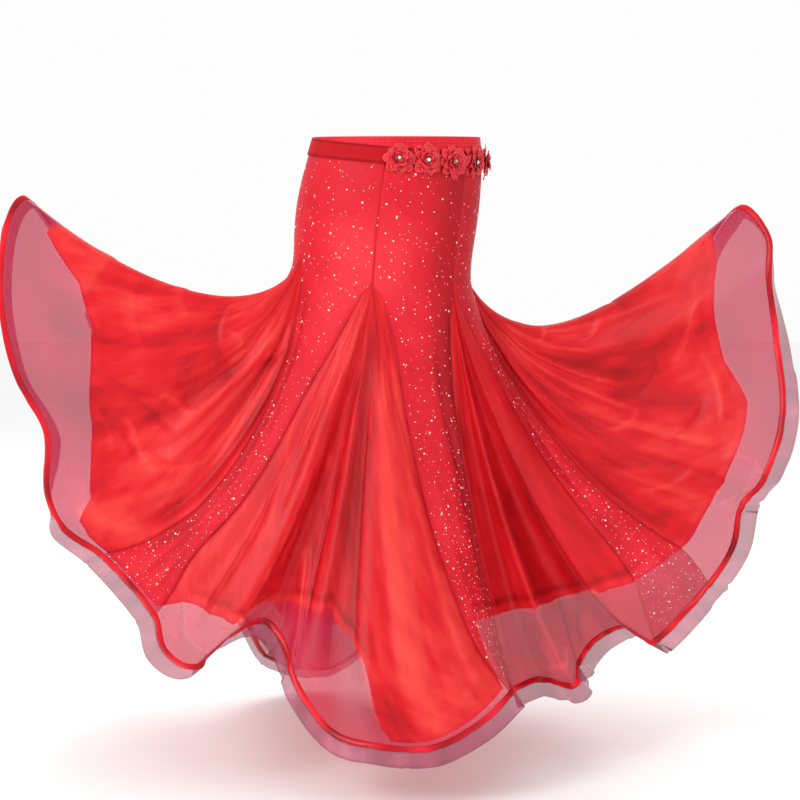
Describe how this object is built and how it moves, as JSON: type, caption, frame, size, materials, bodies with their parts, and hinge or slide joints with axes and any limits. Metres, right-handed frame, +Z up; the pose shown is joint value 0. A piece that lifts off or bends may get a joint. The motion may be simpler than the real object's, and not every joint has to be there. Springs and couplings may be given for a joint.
{
  "type": "mermaid belly dance skirt with floral hip belt",
  "caption": "Mermaid-cut belly dance skirt, tight over the hips, with sheer flared godets held out wide, a stiffened hem and a slanting floral hip belt.",
  "frame": {"origin": "middle of the waistband's top edge, where the wearer's waist holds the skirt", "axes": "+Z up, the front faces -Y, +X towards the wearer's left hand side as seen from the front on the right"},
  "size_m": [1.3171, 0.7953, 1.0351],
  "materials": {
    "sparkle_knit": "red stretch mesh knit with scattered small gold dots",
    "organza": "red sheer organza, crisp, with a satin sheen",
    "lining": "red plain stretch lining, softly dull",
    "hem_binding": "red satin strip, glossy",
    "hem_braid": "sheer horsehair braid, greyish rose where it is single",
    "waistband": "elastic covered in the red knit",
    "belt_band": "dark red felted band",
    "petals": "dark red fabric petals with lighter pinkish edges",
    "rhinestone": "clear cut stone, foil backed"
  },
  "bodies": {
    "root": {"gore_front_left": "sparkle_knit", "gore_front": "sparkle_knit", "gore_right": "sparkle_knit", "gore_back_right": "sparkle_knit", "gore_back": "sparkle_knit", "gore_left": "sparkle_knit", "godet_left": "organza", "godet_front": "organza", "godet_front_right": "organza", "godet_right": "organza", "godet_back": "organza", "godet_back_left": "organza", "lining_left": "lining", "lining_front": "lining", "lining_front_right": "lining", "lining_right": "lining", "lining_back": "lining", "lining_back_left": "lining", "hem_binding": "hem_binding", "hem_braid": "hem_braid", "waistband": "waistband", "belt_band": "belt_band", "flower_1": "petals", "flower_2": "petals", "flower_3": "petals", "flower_4": "petals", "flower_5": "petals", "flower_6": "petals", "flower_7": "petals", "flower_8": "petals", "rhinestone_1": "rhinestone", "rhinestone_2": "rhinestone", "rhinestone_3": "rhinestone", "rhinestone_4": "rhinestone", "rhinestone_5": "rhinestone", "rhinestone_6": "rhinestone", "rhinestone_7": "rhinestone", "rhinestone_8": "rhinestone"}
  },
  "joints": []
}
